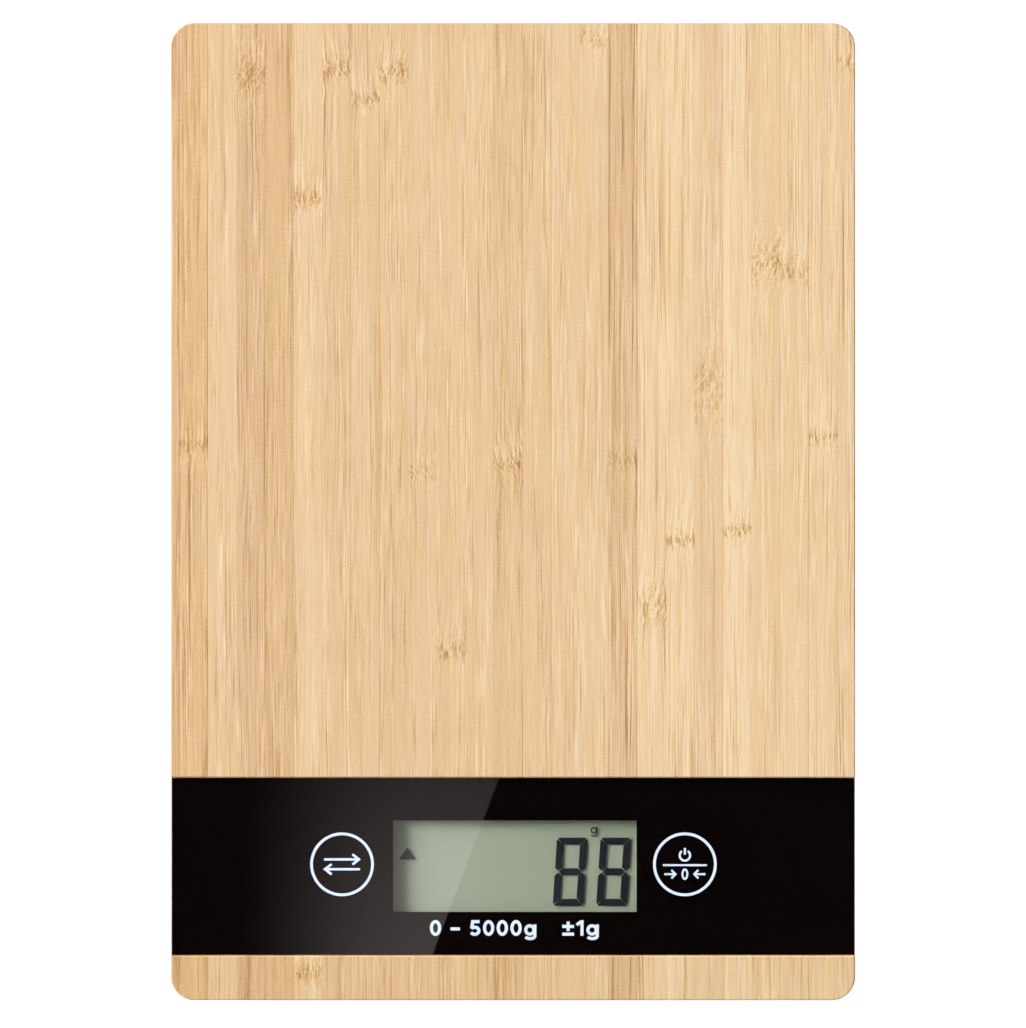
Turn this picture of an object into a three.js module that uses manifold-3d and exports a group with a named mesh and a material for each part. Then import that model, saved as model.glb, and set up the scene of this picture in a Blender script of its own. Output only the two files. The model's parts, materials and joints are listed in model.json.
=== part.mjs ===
// A slim digital kitchen scale with a bamboo weighing platform.
//
// Units are millimetres and +Z is up. The origin is on the surface that the scale stands on, under
// the middle of the platform. -Y is the front, where the display is, and -X is the user's left.
// The platform carries the display and the circuit board. A moulded housing is screwed under it,
// and holds one load cell over each foot and the battery compartment.

import * as THREE from 'three';
import { mergeVertices } from 'three/addons/utils/BufferGeometryUtils.js';
import Module from 'manifold-3d';

const wasm = await Module();
wasm.setup();

// ---------------------------------------------------------------- driving dimensions

const WIDTH = 160;
const LENGTH = 228.5;
const CORNER_RADIUS = 5.5;
const SIDES = 24; // facets of a round part

// Heights of the stack, from the table up
const PAD_TOP = 1.7;
const HOUSING_BOTTOM = 3;
const FLOOR_TOP = 4.6;
const HOUSING_TOP = 9.9;
const BOARD_BOTTOM = 10;
const CHANNEL_FLOOR = 16;
const BOARD_TOP = 18;
const FIT = 0.1; // gap between pieces that rest on each other
const OVERSHOOT = 1; // how far a cutting tool passes the face that it opens

// Channel across the front of the board, with the glossy strip in it
const CHANNEL_WIDTH = 41.7;
const CHANNEL_Y = -LENGTH / 2 + 10.4 + CHANNEL_WIDTH / 2;
const MASK_THICKNESS = 0.2;
const MASK_BOTTOM = CHANNEL_FLOOR + FIT;
const LENS_BOTTOM = MASK_BOTTOM + MASK_THICKNESS + FIT;
const STRIP_CLEARANCE = 0.1;
const STRIP_WIDTH = CHANNEL_WIDTH - 2 * STRIP_CLEARANCE;
const EDGE_ROUNDING = 0.8;

// Display
const WINDOW = { x: 0.4, y: -82.95, width: 57, depth: 21.4 };
const GLASS = { width: 62, depth: 28, bottom: 11.2, top: 13 };
const POLARIZER_THICKNESS = 0.15;
const FRAME = { width: 66, depth: 32, wall: 1.7, lip: 13.3, top: 15.8 };
const FRAME_CLEARANCE = 0.5;

// Circuit board, hung under the platform
const BOARD = { width: 90.4, depth: 36, bottom: 8.35, top: 9.95 };
const CIRCUIT_SCREW = { x: 40, spread: 14, holeRadius: 1.3, length: 6 };
const KEY = { x: 40.1, y: -82.55, springRadius: 4.4, wireRadius: 0.3, turns: 4, wellRadius: 6.5 };

// Housing
const HOUSING = { width: 144, length: 213, wall: 2, cornerRadius: 8, chamfer: 1 };
const HOUSING_SCREW = { x: 64.5, y: 70, headRadius: 2.7, shankRadius: 1.45, seat: 6, tip: 14.5 };
const BOSS_RADIUS = 4;

// Load cells and feet
const STATION = { x: 58, y: 92.5, outer: 24.4, pocket: 21.8, seat: 6.2, recessTop: 4.8 };
const CELL = { size: 21, bottom: 6.3, top: 7.5, cornerRadius: 1.5 };
const TONGUE = { halfWidth: 4, root: 6, tip: -5.2, slot: 1.3, holeRadius: 2.1 };
const FOOT = { radius: 10, padRadius: 8.5, stemRadius: 5.3, pinRadius: 1.8, headRadius: 2.6 };

// Battery compartment
const COIN = { x: 0, y: 56, radius: 10, bottom: 4.75, top: 7.9 };
const DOOR = { halfWidth: 14, front: 42, rear: 70, top: 4.5, gap: 0.3, cornerRadius: 1.5 };
const BATTERY_BLOCK = { halfWidth: 17, front: 40, rear: 76 };
const WELL = { radius: 10.4, top: 8.6 };
const CONTACT = { thickness: 0.25, width: 5.2, bottom: 8.15, reach: 20.5 };
const HOOK = { x: 8, halfWidth: 2, bottom: 4.75, top: 5.6, inner: 68, outer: 72.7 };

// ---------------------------------------------------------------- geometry helpers

// Rounded rectangle about the origin.
function roundedRect(width, depth, radius) {
  const x = width / 2 - radius;
  const y = depth / 2 - radius;
  const shape = new THREE.Shape();
  shape.absarc(x, y, radius, 0, Math.PI / 2);
  shape.absarc(-x, y, radius, Math.PI / 2, Math.PI);
  shape.absarc(-x, -y, radius, Math.PI, 1.5 * Math.PI);
  shape.absarc(x, -y, radius, 1.5 * Math.PI, 2 * Math.PI);
  shape.closePath();
  return shape;
}

// Plate between two heights, with square edges.
function plate(shape, bottom, top, curveSegments = 6) {
  const options = { depth: top - bottom, bevelEnabled: false, curveSegments };
  return new THREE.ExtrudeGeometry(shape, options).translate(0, 0, bottom);
}

// Plate between two heights, with both rims rounded inside the outline.
function softPlate(shape, bottom, top, rounding, bevelSegments = 2, curveSegments = 6) {
  const options = {
    depth: top - bottom - 2 * rounding,
    bevelThickness: rounding,
    bevelSize: rounding,
    bevelOffset: -rounding,
    bevelSegments,
    curveSegments,
  };
  return new THREE.ExtrudeGeometry(shape, options).translate(0, 0, bottom + rounding);
}

function box(x0, x1, y0, y1, z0, z1) {
  const geometry = new THREE.BoxGeometry(x1 - x0, y1 - y0, z1 - z0);
  return geometry.translate((x0 + x1) / 2, (y0 + y1) / 2, (z0 + z1) / 2);
}

// Box about a point in X and Y.
function blockAt(x, y, width, depth, bottom, top) {
  return box(x - width / 2, x + width / 2, y - depth / 2, y + depth / 2, bottom, top);
}

function disc(x, y, radius, bottom, top, sides = SIDES) {
  const geometry = new THREE.CylinderGeometry(radius, radius, top - bottom, sides);
  return geometry.rotateX(Math.PI / 2).translate(x, y, (bottom + top) / 2);
}

// Turned piece about +Z. The profile lists [radius, height] from the bottom to the top, on the axis
// at both ends.
function turned(profile, sides = SIDES) {
  const points = profile.map(([radius, height]) => new THREE.Vector2(radius, height));
  return new THREE.LatheGeometry(points, sides).rotateX(Math.PI / 2);
}

// Round wire or cable along hand-placed points.
function wire(points, radius, steps, sides = 8) {
  const path = new THREE.CatmullRomCurve3(points.map((point) => new THREE.Vector3(...point)));
  return wireAlong(path, radius, steps, sides);
}

function wireAlong(path, radius, steps, sides) {
  const section = new THREE.Shape();
  section.absarc(0, 0, radius, 0, 2 * Math.PI);
  const options = { steps, extrudePath: path, curveSegments: sides / 2, bevelEnabled: false };
  return new THREE.ExtrudeGeometry(section, options);
}

// ---------------------------------------------------------------- cutting and joining

function toSolid(geometry) {
  const bare = geometry.clone();
  bare.deleteAttribute('normal');
  bare.deleteAttribute('uv');
  const merged = mergeVertices(bare, 1e-4);
  const triVerts = [];
  for (let i = 0; i < merged.index.count; i += 3) {
    const corners = [0, 1, 2].map((offset) => merged.index.getX(i + offset));
    if (new Set(corners).size === 3) triVerts.push(...corners);
  }
  const mesh = new wasm.Mesh({
    numProp: 3,
    vertProperties: merged.attributes.position.array,
    triVerts: Uint32Array.from(triVerts),
  });
  return new wasm.Manifold(mesh);
}

function toGeometry(solid) {
  const mesh = solid.getMesh();
  const geometry = new THREE.BufferGeometry();
  geometry.setAttribute('position', new THREE.BufferAttribute(mesh.vertProperties, 3));
  geometry.setIndex(new THREE.BufferAttribute(mesh.triVerts, 1));
  const faceted = geometry.toNonIndexed();
  faceted.computeVertexNormals();
  return faceted;
}

// Joins the first list of geometries, then cuts the second list out of it.
function shaped(joined, cuts = []) {
  let solid = toSolid(joined[0]);
  for (const geometry of joined.slice(1)) solid = solid.add(toSolid(geometry));
  for (const geometry of cuts) solid = solid.subtract(toSolid(geometry));
  return toGeometry(solid);
}

// ---------------------------------------------------------------- materials

function finish(color, roughness, metalness = 0) {
  return () => new THREE.MeshStandardMaterial({ color, roughness, metalness });
}

const bamboo = finish(0xe6c693, 0.5);
const clearPlastic = finish(0x1a1a1a, 0.05);
const blackFilm = finish(0x050505, 0.4);
const blackPlastic = finish(0x1c1c1e, 0.55);
const displayGlass = finish(0x96a08c, 0.2);
const displayFoil = finish(0xb9c2ad, 0.5, 0.4);
const darkRubber = finish(0x202020, 0.9);
const circuitLaminate = finish(0x1f5c34, 0.5);
const greyPlastic = finish(0xd9d9d6, 0.5);
const steel = finish(0xb4b6b8, 0.35, 1);
const nickel = finish(0xc8c5bb, 0.3, 1);
const gaugeFilm = finish(0xb87a35, 0.6);
const redSleeve = finish(0xb01818, 0.5);
const blackSleeve = finish(0x151515, 0.5);
const whiteSleeve = finish(0xdedede, 0.5);

// ---------------------------------------------------------------- assembly

const scale = new THREE.Group();
scale.name = 'kitchen_scale';

function addPiece(name, geometry, makeMaterial, parent = scale) {
  const mesh = new THREE.Mesh(geometry, makeMaterial());
  mesh.name = name;
  parent.add(mesh);
  return mesh;
}

const CORNERS = [
  { name: 'front_left', x: -1, y: -1 },
  { name: 'front_right', x: 1, y: -1 },
  { name: 'rear_left', x: -1, y: 1 },
  { name: 'rear_right', x: 1, y: 1 },
];

const HOUSING_SCREWS = [
  ...CORNERS.map((corner) => ({ ...corner, y: corner.y * HOUSING_SCREW.y })),
  { name: 'middle_left', x: -1, y: 0 },
  { name: 'middle_right', x: 1, y: 0 },
].map((screw) => ({ ...screw, x: screw.x * HOUSING_SCREW.x }));

const CIRCUIT_SCREWS = CORNERS.map(({ name, x, y }) => ({
  name,
  x: x * CIRCUIT_SCREW.x,
  y: WINDOW.y + y * CIRCUIT_SCREW.spread,
}));

const KEYS = [
  { name: 'unit', x: -KEY.x },
  { name: 'tare', x: KEY.x },
];

// Weighing platform: a bamboo board with the channel milled across it, an opening for the display,
// a well over each touch spring and blind holes for the screws.
function platformGeometry() {
  const outline = roundedRect(WIDTH, LENGTH, CORNER_RADIUS);
  const board = softPlate(outline, BOARD_BOTTOM, BOARD_TOP, EDGE_ROUNDING, 2, 6);
  const below = BOARD_BOTTOM - OVERSHOOT;
  const above = BOARD_TOP + OVERSHOOT;
  const reach = WIDTH + 2 * OVERSHOOT;
  const opening = [FRAME.width + 2 * FRAME_CLEARANCE, FRAME.depth + 2 * FRAME_CLEARANCE];
  const cuts = [
    blockAt(0, CHANNEL_Y, reach, CHANNEL_WIDTH, CHANNEL_FLOOR, above),
    blockAt(WINDOW.x, WINDOW.y, ...opening, below, above),
    ...KEYS.map(({ x }) => disc(x, KEY.y, KEY.wellRadius, below, above)),
    ...HOUSING_SCREWS.map(({ x, y }) => disc(x, y, 1.75, below, HOUSING_SCREW.tip + 0.3, 12)),
    ...CIRCUIT_SCREWS.map(({ x, y }) => disc(x, y, CIRCUIT_SCREW.holeRadius, below, 14.6, 12)),
  ];
  return shaped([board], cuts);
}

// Clear strip that lies flush in the channel, end to end.
function lensGeometry() {
  return plate(roundedRect(WIDTH - 0.2, STRIP_WIDTH, 0.2), LENS_BOTTOM, BOARD_TOP, 2)
    .translate(0, CHANNEL_Y, 0);
}

// Printed film behind the clear strip, with the display window left open.
function maskGeometry() {
  const top = MASK_BOTTOM + MASK_THICKNESS;
  const film = blockAt(0, CHANNEL_Y, WIDTH - 0.4, STRIP_WIDTH - 0.2, MASK_BOTTOM, top);
  const window = blockAt(WINDOW.x, WINDOW.y, WINDOW.width, WINDOW.depth, CHANNEL_FLOOR, LENS_BOTTOM);
  return shaped([film], [window]);
}

function addStrip() {
  addPiece('display_lens', lensGeometry(), clearPlastic);
  addPiece('printed_mask', maskGeometry(), blackFilm);
}

// Frame that stands on the circuit board, holds the display glass and ends in a lip over its rim.
function displayFrameGeometry() {
  const { width, depth, wall, lip, top } = FRAME;
  const outer = plate(roundedRect(width, depth, 1.5), BOARD.top + FIT, top, 3);
  const seat = blockAt(0, 0, width - 2 * wall, depth - 2 * wall, BOARD.top, lip);
  const mouth = blockAt(0, 0, WINDOW.width + 1.6, WINDOW.depth + 1.6, lip - OVERSHOOT, top + OVERSHOOT);
  return shaped([outer], [seat, mouth]).translate(WINDOW.x, WINDOW.y, 0);
}

function addDisplay() {
  const { x, y } = WINDOW;
  const { width, depth, bottom, top } = GLASS;
  const filmBottom = top + FIT / 2;
  addPiece('lcd_frame', displayFrameGeometry(), blackPlastic);
  addPiece('lcd_glass', blockAt(x, y, width, depth, bottom, top), displayGlass);
  const film = blockAt(x, y, width - 2.4, depth - 3.4, filmBottom, filmBottom + POLARIZER_THICKNESS);
  addPiece('lcd_polarizer', film, displayGlass);
  const backing = blockAt(x, y + 1.6, width - 4, depth - 7, bottom - 0.4, bottom - FIT);
  addPiece('lcd_reflector', backing, displayFoil);
  const contactStrip = blockAt(x, y - depth / 2 + 2, width - 4, 2.2, BOARD.top + FIT, bottom - FIT);
  addPiece('zebra_connector', contactStrip, darkRubber);
}

// Spring electrode of a touch key: a coil from the circuit board up to the printed film.
class Coil extends THREE.Curve {
  getPoint(t, target = new THREE.Vector3()) {
    const { springRadius, wireRadius, turns } = KEY;
    const low = BOARD.top + wireRadius + FIT;
    const high = MASK_BOTTOM - wireRadius - FIT;
    const angle = 2 * Math.PI * turns * t;
    const radius = springRadius - wireRadius - t;
    return target.set(radius * Math.cos(angle), radius * Math.sin(angle), low + (high - low) * t);
  }
}

function addTouchSprings() {
  const stepsPerTurn = 12;
  for (const { name, x } of KEYS) {
    const coil = wireAlong(new Coil(), KEY.wireRadius, stepsPerTurn * KEY.turns, 6);
    addPiece(`touch_spring_${name}`, coil.translate(x, KEY.y, 0), nickel);
  }
}

// Cross recess cut into a screw head that faces down.
function crossRecess(radius, bottom, depth) {
  const slot = 0.9;
  const length = 1.3 * radius;
  const low = bottom - OVERSHOOT;
  return [
    blockAt(0, 0, length, slot, low, bottom + depth),
    blockAt(0, 0, slot, length, low, bottom + depth),
  ];
}

// Pan head screw driven upwards. headTop is the face of the head that clamps.
function screwGeometry(headRadius, headHeight, shankRadius, headTop, tip) {
  const headBottom = headTop - headHeight;
  const body = turned([
    [0, headBottom],
    [0.7 * headRadius, headBottom],
    [headRadius, headBottom + 0.35 * headHeight],
    [headRadius, headTop],
    [shankRadius, headTop],
    [shankRadius, tip - 1.5],
    [0, tip],
  ], 16);
  return shaped([body], crossRecess(headRadius, headBottom, 0.6 * headHeight));
}

function addCircuitBoard() {
  const { width, depth, bottom, top } = BOARD;
  const laminate = plate(roundedRect(width, depth, 1), bottom, top, 2).translate(0, WINDOW.y, 0);
  const holes = CIRCUIT_SCREWS.map(({ x, y }) => disc(x, y, 1.3, bottom - 1, top + 1, 12));
  addPiece('circuit_board', shaped([laminate], holes), circuitLaminate);

  const blob = [[0, 6.9], [2.2, 7.0], [4.2, 7.4], [5.6, 7.9], [6, 8.25], [0, 8.25]];
  addPiece('chip_cover', turned(blob, 16).translate(0, WINDOW.y, 0), blackPlastic);

  const can = new THREE.CylinderGeometry(1.6, 1.6, 7, 16).rotateZ(Math.PI / 2);
  addPiece('smoothing_capacitor', can.translate(14, -72, bottom - 1.8), blackSleeve);

  for (const { name, x, y } of CIRCUIT_SCREWS) {
    const headTop = bottom - FIT;
    const screw = screwGeometry(2.2, 1.4, 1, headTop, headTop + CIRCUIT_SCREW.length);
    addPiece(`circuit_screw_${name}`, screw.translate(x, y, 0), steel);
  }
}

// Cuts for one load cell station: pocket, foot recess, stem hole and the cable notch, which faces
// the middle of the scale.
function stationCuts({ x, y }) {
  const centreX = x * STATION.x;
  const centreY = y * STATION.y;
  const notchY = centreY - y * STATION.outer / 2;
  const above = HOUSING_TOP + OVERSHOOT;
  return [
    blockAt(centreX, centreY, STATION.pocket, STATION.pocket, STATION.seat, above),
    disc(centreX, centreY, FOOT.radius + 0.7, HOUSING_BOTTOM - OVERSHOOT, STATION.recessTop),
    disc(centreX, centreY, FOOT.stemRadius + 0.7, HOUSING_BOTTOM, STATION.seat + OVERSHOOT),
    blockAt(centreX, notchY, 3.4, 4, CELL.top, above),
  ];
}

// Cuts for the battery compartment, open at the bottom where the door closes it.
function batteryCuts() {
  const { x, y } = COIN;
  const { halfWidth, front, rear, gap, cornerRadius } = DOOR;
  const doorHole = roundedRect(2 * (halfWidth + gap), rear - front + 2 * gap, cornerRadius + gap);
  const slotHalf = CONTACT.width / 2 + 0.4;
  const slotTop = WELL.top;
  const slotBottom = CONTACT.bottom - 0.15;
  const outside = BATTERY_BLOCK.halfWidth + OVERSHOOT;
  const clipX = x - COIN.radius;
  return [
    plate(doorHole, HOUSING_BOTTOM - OVERSHOOT, FLOOR_TOP + 0.05, 4).translate(0, (front + rear) / 2, 0),
    disc(x, y, WELL.radius, FLOOR_TOP, WELL.top),
    box(-halfWidth, halfWidth, HOOK.inner - 2, HOOK.outer + 0.7, FLOOR_TOP, 7.2),
    box(x, outside, y - slotHalf, y + slotHalf, slotBottom, slotTop),
    box(-outside, x, y - slotHalf, y + slotHalf, slotBottom, slotTop),
    box(clipX - 0.8, clipX + 0.5, y - slotHalf, y + slotHalf, FLOOR_TOP, slotTop),
  ];
}

// Moulded tray under the platform.
function housingGeometry() {
  const { width, length, wall, cornerRadius, chamfer } = HOUSING;
  const outer = roundedRect(width, length, cornerRadius);
  const inner = roundedRect(width - 2 * wall, length - 2 * wall, cornerRadius - wall);
  const rimCut = HOUSING_TOP + chamfer;
  const block = BATTERY_BLOCK;
  const joined = [
    shaped(
      [softPlate(outer, HOUSING_BOTTOM, rimCut, chamfer, 2, 8)],
      [
        blockAt(0, 0, width + 2, length + 2, HOUSING_TOP, rimCut + OVERSHOOT),
        plate(inner, FLOOR_TOP, rimCut, 8),
      ],
    ),
    ...CORNERS.map(({ x, y }) => blockAt(
      x * STATION.x, y * STATION.y, STATION.outer, STATION.outer, FLOOR_TOP - 0.5, HOUSING_TOP,
    )),
    ...HOUSING_SCREWS.map(({ x, y }) => disc(x, y, BOSS_RADIUS, FLOOR_TOP - 0.5, HOUSING_TOP, 20)),
    box(-block.halfWidth, block.halfWidth, block.front, block.rear, FLOOR_TOP - 0.5, HOUSING_TOP),
  ];
  const low = HOUSING_BOTTOM - OVERSHOOT;
  const high = HOUSING_TOP + OVERSHOOT;
  const fingerScoop = new THREE.SphereGeometry(1, 16, 8).scale(7, 3.4, 1.1);
  const labelRecess = roundedRect(64, 30, 2);
  const { headRadius, shankRadius, seat } = HOUSING_SCREW;
  const cuts = [
    ...CORNERS.flatMap(stationCuts),
    ...batteryCuts(),
    ...HOUSING_SCREWS.map(({ x, y }) => disc(x, y, headRadius + 0.4, low, seat, 20)),
    ...HOUSING_SCREWS.map(({ x, y }) => disc(x, y, shankRadius + 0.3, low, high, 16)),
    fingerScoop.translate(0, DOOR.front - 1.4, HOUSING_BOTTOM),
    plate(labelRecess, low, HOUSING_BOTTOM + 0.3, 3).translate(0, -20, 0),
  ];
  return shaped(joined, cuts);
}

function addHousing() {
  addPiece('base_housing', housingGeometry(), greyPlastic);
  for (const { name, x, y } of HOUSING_SCREWS) {
    const { headRadius, shankRadius, seat, tip } = HOUSING_SCREW;
    const screw = screwGeometry(headRadius, 1.8, shankRadius, seat - FIT, tip);
    addPiece(`housing_screw_${name}`, screw.translate(x, y, 0), steel);
  }
}

// Steel plate with a U-shaped slot. The tongue inside the slot bends when the foot pushes it.
function loadCellGeometry() {
  const { halfWidth, root, tip, slot, holeRadius } = TONGUE;
  const outline = roundedRect(CELL.size, CELL.size, CELL.cornerRadius);
  const slotOutline = new THREE.Path([
    [halfWidth, root],
    [halfWidth, tip],
    [-halfWidth, tip],
    [-halfWidth, root],
    [-halfWidth - slot, root],
    [-halfWidth - slot, tip - slot],
    [halfWidth + slot, tip - slot],
    [halfWidth + slot, root],
  ].map(([x, y]) => new THREE.Vector2(x, y)));
  slotOutline.closePath();
  const pinHole = new THREE.Path().absarc(0, 0, holeRadius, 0, 2 * Math.PI);
  outline.holes.push(slotOutline, pinHole);
  return plate(outline, CELL.bottom, CELL.top, 6);
}

// Square ring that keeps the load cell down in its pocket, open on the cable's side.
function retainerGeometry() {
  const ring = blockAt(0, 0, CELL.size, CELL.size, CELL.top + FIT, HOUSING_TOP - 0.05);
  const middle = blockAt(0, 0, 15, 15, CELL.bottom, BOARD_TOP);
  const cableWay = blockAt(0, 9, 3.4, 6, CELL.bottom, BOARD_TOP);
  return shaped([ring], [middle, cableWay]);
}

// Foot: a disc with a seat for the rubber pad, a stem, and a pin that clips through the tongue.
function footHolderGeometry() {
  const { radius, padRadius, stemRadius, pinRadius, headRadius } = FOOT;
  const padSeat = PAD_TOP + FIT;
  const rim = padSeat - 0.6;
  const shoulder = CELL.bottom - FIT;
  const headBottom = CELL.top + 0.2;
  return turned([
    [0, padSeat],
    [padRadius + 0.2, padSeat],
    [padRadius + 0.2, rim],
    [radius - 0.4, rim],
    [radius, rim + 0.4],
    [radius, 3.8],
    [radius - 0.3, 4.1],
    [stemRadius, 4.1],
    [stemRadius, shoulder],
    [pinRadius, shoulder],
    [pinRadius, headBottom],
    [headRadius, headBottom],
    [pinRadius, headBottom + 0.8],
    [0, headBottom + 0.8],
  ]);
}

function footPadGeometry() {
  const { padRadius } = FOOT;
  return turned([
    [0, 0],
    [padRadius - 0.5, 0],
    [padRadius, 0.5],
    [padRadius, PAD_TOP],
    [0, PAD_TOP],
  ]);
}

// One load cell with its gauge, retainer, foot and pad. Its own +Y faces the middle of the scale.
function addStation({ name, x, y }) {
  const station = new THREE.Group();
  station.position.set(x * STATION.x, y * STATION.y, 0);
  station.rotation.z = y < 0 ? 0 : Math.PI;
  scale.add(station);
  addPiece(`load_cell_${name}`, loadCellGeometry(), steel, station);
  const gauge = blockAt(0, 5.5, 4.4, 3.4, CELL.top + FIT, CELL.top + 0.25);
  addPiece(`strain_gauge_${name}`, gauge, gaugeFilm, station);
  addPiece(`sensor_retainer_${name}`, retainerGeometry(), greyPlastic, station);
  addPiece(`foot_holder_${name}`, footHolderGeometry(), greyPlastic, station);
  addPiece(`foot_pad_${name}`, footPadGeometry(), darkRubber, station);
}

// Cables from the load cells to the circuit board, and the two battery leads. They lie on the
// housing's floor and end under the circuit board.
function addWiring() {
  const frontRoute = [
    [58, -83.9, 8.5], [58, -79, 8.5], [57, -70, 7.6], [51, -62, 6.6], [42, -58, 6.2],
    [34, -60, 6.4], [30, -65, 6.9], [29.5, -71, 7.1],
  ];
  const rearRoute = [
    [58, 83.9, 8.5], [58, 79, 8.5], [56.5, 69, 7.4], [52, 52, 5.9], [45, 26, 5.8],
    [36, -4, 5.8], [27, -36, 5.8], [22.5, -56, 6.1], [22, -64, 6.8], [22, -71, 7.1],
  ];
  const leadRoute = [
    [19.4, 53, 8.25], [19.4, 49, 8.1], [19.6, 43, 6.9], [18, 30, 5.6], [14, 4, 5.5],
    [10, -26, 5.5], [8, -50, 5.8], [8, -62, 6.8], [8, -71, 7.3],
  ];
  const mirrored = (route, side) => route.map(([x, y, z]) => [side * x, y, z]);
  for (const { name, x, y } of CORNERS) {
    const cable = y < 0 ? wire(mirrored(frontRoute, x), 0.9, 18) : wire(mirrored(rearRoute, x), 0.9, 30);
    addPiece(`sensor_cable_${name}`, cable, whiteSleeve);
  }
  addPiece('battery_lead_red', wire(mirrored(leadRoute, -1), 0.6, 28), redSleeve);
  addPiece('battery_lead_black', wire(mirrored(leadRoute, 1), 0.6, 28), blackSleeve);
}

// Door in the housing's floor. It hangs on two hooks at its rear edge and snaps in at the front.
function doorGeometry() {
  const { halfWidth, front, rear, top, cornerRadius } = DOOR;
  const length = rear - front;
  const panel = softPlate(roundedRect(2 * halfWidth, length, cornerRadius), HOUSING_BOTTOM, top, 0.25, 1, 4)
    .translate(0, (front + rear) / 2, 0);
  const hooks = [-HOOK.x, HOOK.x].flatMap((x) => [
    box(x - HOOK.halfWidth, x + HOOK.halfWidth, HOOK.inner, rear - 0.3, top - 0.5, HOOK.top),
    box(x - HOOK.halfWidth, x + HOOK.halfWidth, HOOK.inner, HOOK.outer, HOOK.bottom, HOOK.top),
  ]);
  const snapRib = box(-5, 5, front - 0.2, front + 1, 3.5, 4.1);
  const gripGrooves = [0, 1.6, 3.2].map((step) => (
    box(-5, 5, front + 2.4 + step, front + 3 + step, HOUSING_BOTTOM - 1, HOUSING_BOTTOM + 0.35)
  ));
  return shaped([panel, ...hooks, snapRib], gripGrooves);
}

function coinCellGeometry() {
  const { radius, bottom, top } = COIN;
  return turned([
    [0, bottom],
    [radius - 0.3, bottom],
    [radius, bottom + 0.3],
    [radius, top - 0.5],
    [radius - 0.4, top - 0.25],
    [radius - 1.4, top - 0.25],
    [radius - 1.6, top],
    [0, top],
  ]).translate(COIN.x, COIN.y, 0);
}

function addBattery() {
  const { thickness, width, bottom, reach } = CONTACT;
  const y0 = COIN.y - width / 2;
  const y1 = COIN.y + width / 2;
  const top = bottom + thickness;
  const clipX = -COIN.radius - 0.35;
  addPiece('battery_door', doorGeometry(), greyPlastic);
  addPiece('coin_cell', coinCellGeometry(), nickel);
  addPiece('battery_contact_negative', box(-3, reach, y0, y1, bottom, top), nickel);
  const positive = shaped([
    box(-reach, clipX + thickness, y0, y1, bottom, top),
    box(clipX, clipX + thickness, y0, y1, FLOOR_TOP + 0.4, top),
  ]);
  addPiece('battery_contact_positive', positive, nickel);
}

addPiece('bamboo_platform', platformGeometry(), bamboo);
addStrip();
addDisplay();
addTouchSprings();
addCircuitBoard();
addHousing();
CORNERS.forEach(addStation);
addWiring();
addBattery();

export default scale;
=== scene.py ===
"""Looks for the bamboo kitchen scale: fine meshes, procedural materials, light and camera.

Shapes are worked out in millimetres and stored in metres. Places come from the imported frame.
"""

import json
import math

import bmesh
import bpy
from mathutils import Matrix, Vector


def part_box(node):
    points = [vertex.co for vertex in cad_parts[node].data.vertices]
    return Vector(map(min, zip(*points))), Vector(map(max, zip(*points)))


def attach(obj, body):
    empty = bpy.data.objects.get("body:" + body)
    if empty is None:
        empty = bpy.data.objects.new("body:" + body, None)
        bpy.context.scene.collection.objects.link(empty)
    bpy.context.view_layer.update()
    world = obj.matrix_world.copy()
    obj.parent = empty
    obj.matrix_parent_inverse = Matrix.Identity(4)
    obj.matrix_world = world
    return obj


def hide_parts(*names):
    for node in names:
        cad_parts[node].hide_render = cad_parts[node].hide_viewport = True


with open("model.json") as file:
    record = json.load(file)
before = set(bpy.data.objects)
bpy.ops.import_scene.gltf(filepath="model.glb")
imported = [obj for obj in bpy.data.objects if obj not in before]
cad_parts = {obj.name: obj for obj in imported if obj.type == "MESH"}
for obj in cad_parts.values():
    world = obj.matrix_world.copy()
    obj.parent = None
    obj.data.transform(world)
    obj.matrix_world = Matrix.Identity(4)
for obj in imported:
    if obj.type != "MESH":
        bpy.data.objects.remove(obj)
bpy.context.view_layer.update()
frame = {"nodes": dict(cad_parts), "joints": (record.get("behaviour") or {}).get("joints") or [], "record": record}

MM = 0.001

# ----- driving sizes, in mm

BOARD_CORNER = 5.5
BOARD_ROUNDING = 0.4
CHANNEL_DEPTH = 2.0
CHANNEL_CLEARANCE = 0.1
DISPLAY_ROOM = 1.0  # how much larger than the display's frame its opening is
KEY_WELL_RADIUS = 6.5
SCREW_HOLE_RADIUS = 1.75
CIRCUIT_HOLE_RADIUS = 1.3
TIP_ROOM = 0.3  # how far a screw's hole goes past its tip
EDGE_BREAK = 0.25  # small chamfer where a cutter meets a face
LENS_CORNER = 0.25
LENS_ROUNDING = 0.12

PRINT_THICKNESS = 0.03
PRINT_LIFT = 0.02  # above the black film, so that the two faces don't coincide
RING_RADIUS = 7.45
RING_STROKE = 0.64
RANGE_HEIGHT = 3.6

WINDOW_WIDTH = 57.0
DIGIT_HEIGHT = 16.0
DIGIT_WIDTH = 7.15
DIGIT_PITCH = 10.2
DIGIT_SLANT = 1.0
DIGIT_INSET = 5.35  # from the window's right edge to the middle of the last digit
SEGMENT_WIDTH = 1.65
SEGMENT_GAP = 0.2
SEGMENT_CUT = 0.45  # clipped outer corner
SEGMENT_RISE = 0.4  # above the display's face, so that each segment drops a soft shadow
POINTER_HEIGHT = 2.9

# Distances from the board's front edge
RANGE_BASELINE = 15.05
DIGIT_MIDDLE = 29.85
POINTER_TIP = 35.6

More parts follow.
